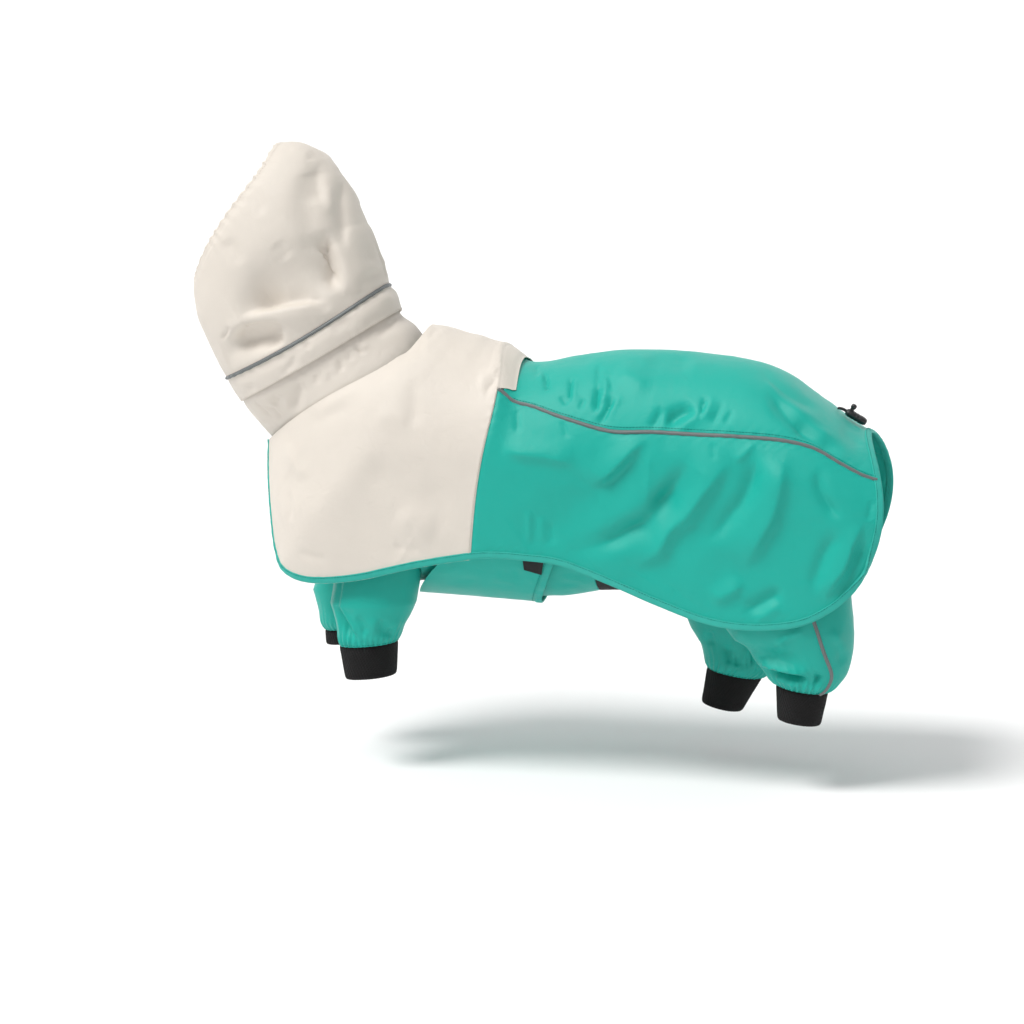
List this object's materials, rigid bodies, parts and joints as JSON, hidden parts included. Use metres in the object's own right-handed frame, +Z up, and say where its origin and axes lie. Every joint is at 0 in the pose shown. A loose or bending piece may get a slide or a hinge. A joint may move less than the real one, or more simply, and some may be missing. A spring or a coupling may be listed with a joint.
{
  "type": "dog rain suit",
  "caption": "Hooded four-legged rain suit for a dog, filled out as worn: cape over an under-suit with cuffed legs, piping and a cord lock.",
  "frame": {"origin": "on the middle plane, at the inside of the yoke over the withers, where the wearer's back holds the suit up", "axes": "+X from the hood towards the tail, +Y towards the suit's right side, +Z up"},
  "size_m": [0.7651, 0.2451, 0.6314],
  "materials": {
    "cream_shell": "coated rain shell, warm cream, soft sheen",
    "teal_shell": "coated rain shell, teal, soft sheen",
    "black_knit": "black rib knit and woven elastic, matte",
    "black_cord": "black round cord",
    "grey_reflective": "grey reflective piping",
    "black_plastic": "moulded black plastic"
  },
  "bodies": {
    "root": {"back_panel": "teal_shell", "belly_elastic": "black_knit", "belly_rear": "teal_shell", "belly_wrap": "teal_shell", "belly_wrap_binding": "teal_shell", "chest_panel": "teal_shell", "cord_lock": "black_plastic", "cord_lock_button": "black_plastic", "drawcord": "black_cord", "front_cuff_left": "black_knit", "front_cuff_right": "black_knit", "front_leg_left": "teal_shell", "front_leg_right": "teal_shell", "hem_binding": "teal_shell", "hind_cuff_left": "black_knit", "hind_cuff_right": "black_knit", "hind_leg_left": "teal_shell", "hind_leg_right": "teal_shell", "hood": "cream_shell", "hood_piping": "grey_reflective", "leg_piping_left": "grey_reflective", "leg_piping_right": "grey_reflective", "neck_lower": "cream_shell", "neck_upper": "cream_shell", "side_panel_left": "teal_shell", "side_panel_right": "teal_shell", "side_piping_left": "grey_reflective", "side_piping_right": "grey_reflective", "side_tab_left": "black_knit", "side_tab_right": "black_knit", "yoke": "cream_shell"}
  },
  "joints": []
}
